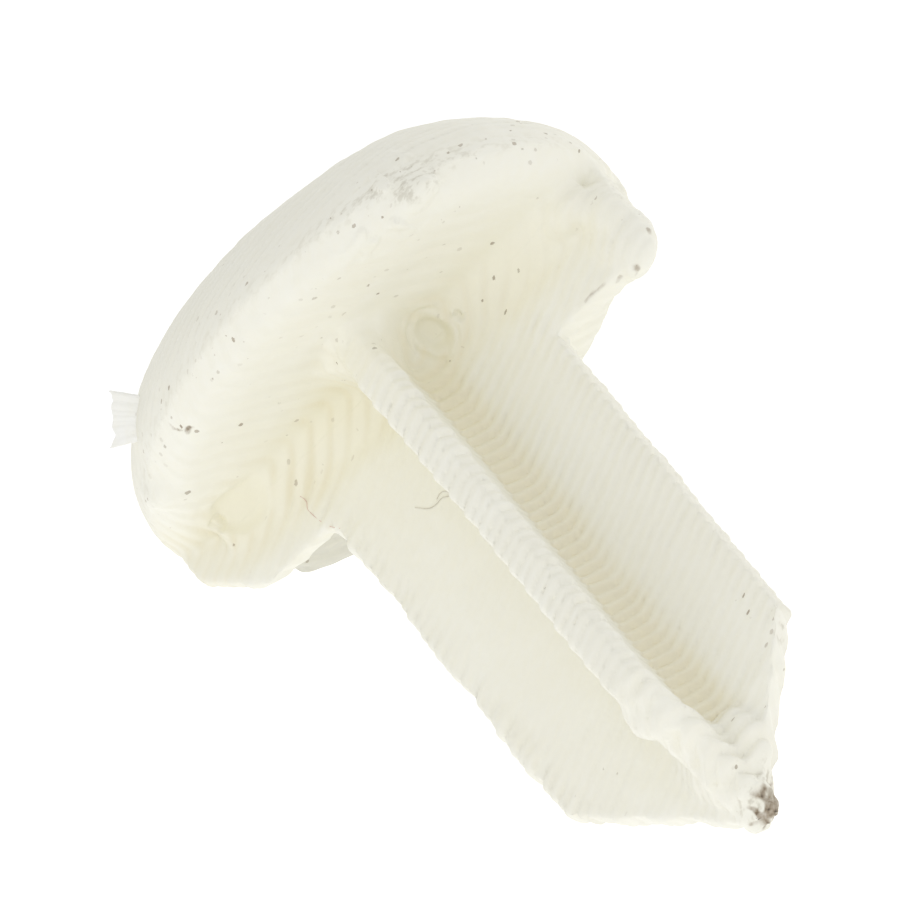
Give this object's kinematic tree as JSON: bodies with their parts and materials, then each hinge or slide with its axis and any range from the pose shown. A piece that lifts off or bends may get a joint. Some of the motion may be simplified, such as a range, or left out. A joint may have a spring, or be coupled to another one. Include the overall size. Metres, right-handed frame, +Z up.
{
  "type": "wall plug",
  "caption": "Push-in plug with a low domed head, a cross-shaped shank of four fins, a pointed end and two shoulders under the head.",
  "frame": {"origin": "on the shank's axis, in the plane of the head's underside, which is the wall's surface", "axes": "+Y along the shank into the wall, +Z up, the wide blade in the X-Y plane"},
  "size_m": [0.012, 0.0165, 0.012],
  "materials": {
    "printed_plastic": "satin, with raised filament layers",
    "stained_plastic": "satin, with raised filament layers and a stained point",
    "white_flap": "matte, brighter white"
  },
  "bodies": {
    "root": {"dome_cap": "printed_plastic", "flange": "printed_plastic", "blade": "stained_plastic", "upper_rib": "printed_plastic", "lower_rib": "printed_plastic", "left_shoulder": "printed_plastic", "right_shoulder": "printed_plastic", "rim_tab": "white_flap"}
  },
  "joints": []
}
